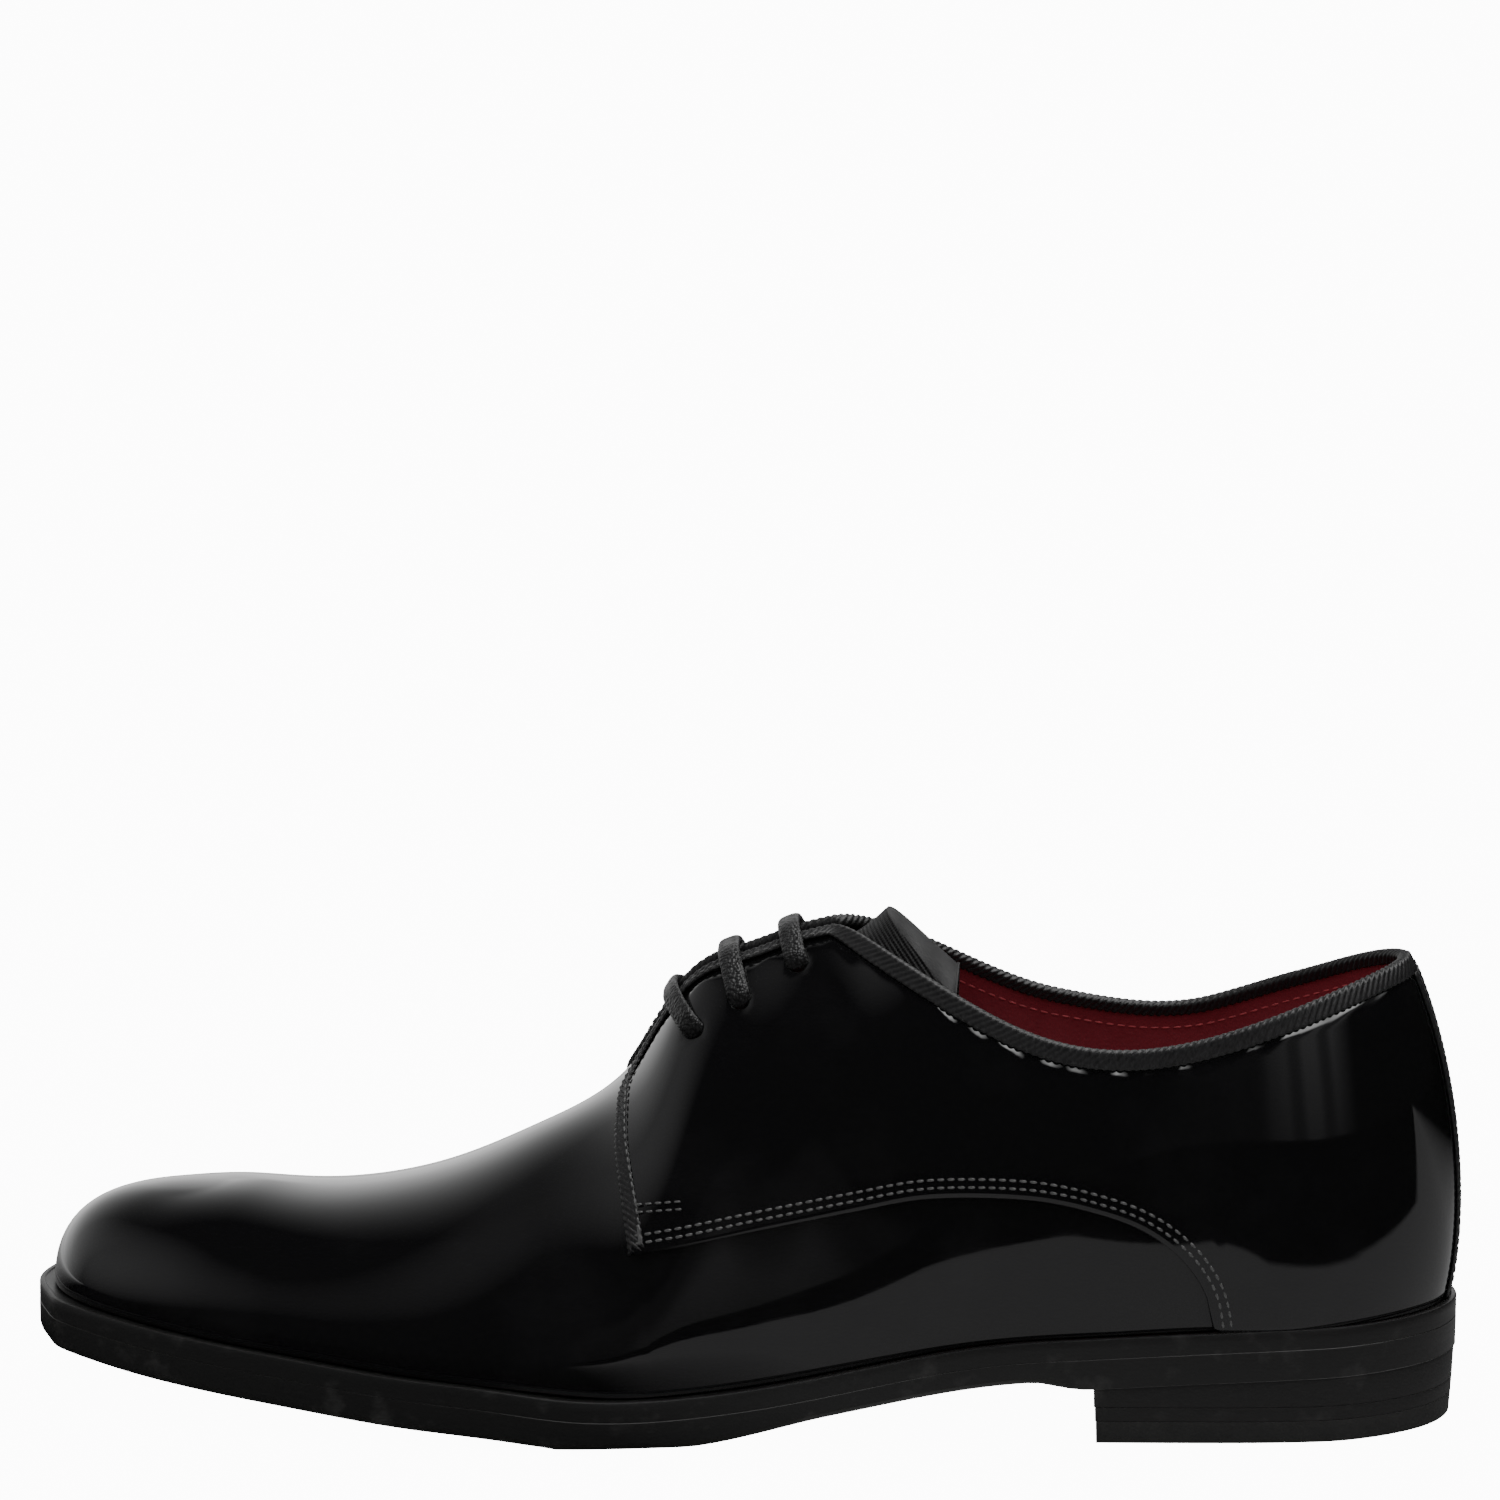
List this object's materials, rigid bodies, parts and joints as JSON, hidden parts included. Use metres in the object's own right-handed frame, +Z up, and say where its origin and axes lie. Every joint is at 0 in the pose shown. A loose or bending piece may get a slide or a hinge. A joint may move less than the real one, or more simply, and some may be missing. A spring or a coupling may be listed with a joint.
{
  "type": "lace-up dress shoe",
  "caption": "Plain-toe, open-laced dress shoe for the left foot, with bound facings and collar, full lining, welted sole and stacked heel.",
  "frame": {"origin": "middle of the bounding box's base, on the ground", "axes": "+X from toe to heel, -Y to the lateral (outer) side, +Z up"},
  "size_m": [0.2986, 0.1028, 0.1024],
  "materials": {
    "patent_leather": "black patent, mirror gloss",
    "lining_leather": "burgundy, semi-matt",
    "ribbon": "black ribbed silk",
    "tongue_cloth": "black ribbed cloth",
    "lace_cord": "waxed black cotton",
    "aglet_plastic": "clear-black, gloss",
    "sole_edge": "ink-dressed and burnished",
    "heel_leather": "ink-dressed, slightly scuffed",
    "top_rubber": "matt",
    "nail_steel": "bright",
    "shank_steel": "rolled",
    "cork": "granulated cork",
    "board": "undyed",
    "eyelet_brass": "blackened"
  },
  "bodies": {
    "shoe": {"vamp": "patent_leather", "lateral_quarter": "patent_leather", "medial_quarter": "patent_leather", "vamp_lining": "lining_leather", "lateral_quarter_lining": "lining_leather", "medial_quarter_lining": "lining_leather", "sock_liner": "lining_leather", "collar_binding": "ribbon", "back_strip": "ribbon", "lace": "lace_cord", "lateral_aglet": "aglet_plastic", "medial_aglet": "aglet_plastic", "outsole": "sole_edge", "welt": "sole_edge", "heel_upper_lift": "heel_leather", "heel_lower_lift": "heel_leather", "top_piece": "top_rubber", "heel_nail_1": "nail_steel", "heel_nail_2": "nail_steel", "heel_nail_3": "nail_steel", "heel_nail_4": "nail_steel", "heel_nail_5": "nail_steel", "shank": "shank_steel", "cork_filler": "cork", "insole_board": "board", "toe_puff": "board", "heel_counter": "board", "lateral_eyelet_stay": "board", "medial_eyelet_stay": "board", "lateral_eyelet_1": "eyelet_brass", "lateral_eyelet_2": "eyelet_brass", "lateral_eyelet_3": "eyelet_brass", "medial_eyelet_1": "eyelet_brass", "medial_eyelet_2": "eyelet_brass", "medial_eyelet_3": "eyelet_brass"},
    "tongue": {"tongue": "tongue_cloth", "tongue_lining": "lining_leather"}
  },
  "joints": [
    {"name": "tongue_hinge", "type": "hinge", "parent": "shoe", "child": "tongue", "pos_m": [-0.03, 0, 0.048], "axis": [0, 1, 0], "range_deg": [0, 12], "stiffness_Nm_per_rad": 0.05}
  ]
}
